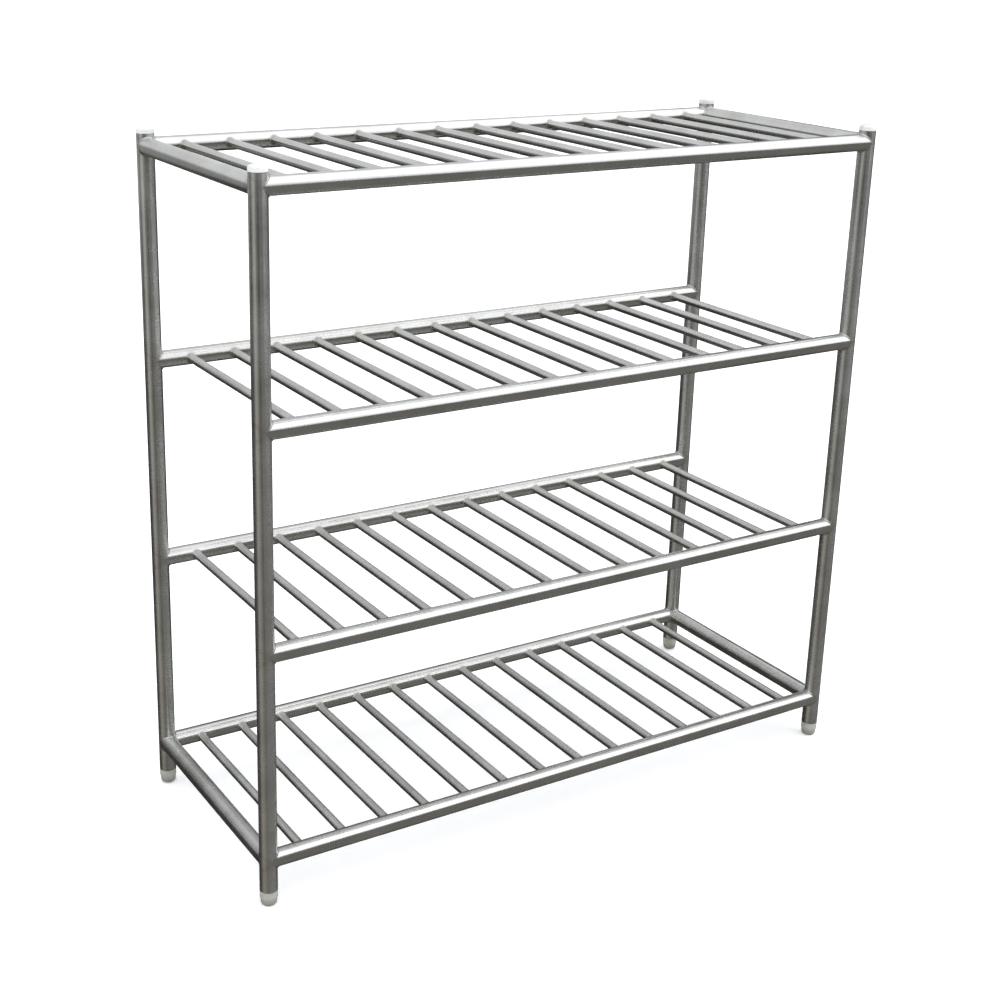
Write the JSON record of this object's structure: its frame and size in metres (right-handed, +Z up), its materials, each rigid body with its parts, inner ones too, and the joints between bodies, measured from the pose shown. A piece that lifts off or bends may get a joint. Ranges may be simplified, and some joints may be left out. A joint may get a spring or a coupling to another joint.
{
  "type": "storage rack",
  "caption": "Open storage rack of welded round stainless steel pipe, with slatted tiers between corner posts, and plastic post caps and feet.",
  "frame": {"origin": "on the floor plane under the middle of the rack, the bottom centre of its bounding box", "axes": "+Z up, +X to the right along the rack seen from its front, +Y towards its back"},
  "size_m": [1.538, 0.6, 1.533],
  "materials": {
    "satin_pipe": "satin polished round stainless steel pipe",
    "cap_plastic": "plain moulded white plastic",
    "foot_plastic": "plain moulded pale grey plastic"
  },
  "bodies": {
    "root": {"bottom_shelf_back_rail": "satin_pipe", "bottom_shelf_front_rail": "satin_pipe", "bottom_shelf_left_end_rail": "satin_pipe", "bottom_shelf_right_end_rail": "satin_pipe", "bottom_shelf_slat_01": "satin_pipe", "bottom_shelf_slat_02": "satin_pipe", "bottom_shelf_slat_03": "satin_pipe", "bottom_shelf_slat_04": "satin_pipe", "bottom_shelf_slat_05": "satin_pipe", "bottom_shelf_slat_06": "satin_pipe", "bottom_shelf_slat_07": "satin_pipe", "bottom_shelf_slat_08": "satin_pipe", "bottom_shelf_slat_09": "satin_pipe", "bottom_shelf_slat_10": "satin_pipe", "bottom_shelf_slat_11": "satin_pipe", "bottom_shelf_slat_12": "satin_pipe", "bottom_shelf_slat_13": "satin_pipe", "bottom_shelf_slat_14": "satin_pipe", "cap_back_left": "cap_plastic", "cap_back_right": "cap_plastic", "cap_front_left": "cap_plastic", "cap_front_right": "cap_plastic", "foot_back_left": "foot_plastic", "foot_back_right": "foot_plastic", "foot_front_left": "foot_plastic", "foot_front_right": "foot_plastic", "lower_shelf_back_rail_and_slats": "satin_pipe", "lower_shelf_front_rail": "satin_pipe", "post_back_left": "satin_pipe", "post_back_right": "satin_pipe", "post_front_left": "satin_pipe", "post_front_right": "satin_pipe", "top_shelf_back_rail": "satin_pipe", "top_shelf_front_rail": "satin_pipe", "top_shelf_left_end_rail": "satin_pipe", "top_shelf_right_end_rail": "satin_pipe", "top_shelf_slat_01": "satin_pipe", "top_shelf_slat_02": "satin_pipe", "top_shelf_slat_03": "satin_pipe", "top_shelf_slat_04": "satin_pipe", "top_shelf_slat_05": "satin_pipe", "top_shelf_slat_06": "satin_pipe", "top_shelf_slat_07": "satin_pipe", "top_shelf_slat_08": "satin_pipe", "top_shelf_slat_09": "satin_pipe", "top_shelf_slat_10": "satin_pipe", "top_shelf_slat_11": "satin_pipe", "top_shelf_slat_12": "satin_pipe", "top_shelf_slat_13": "satin_pipe", "top_shelf_slat_14": "satin_pipe", "upper_shelf_back_rail_and_slats": "satin_pipe", "upper_shelf_front_rail": "satin_pipe"}
  },
  "joints": []
}
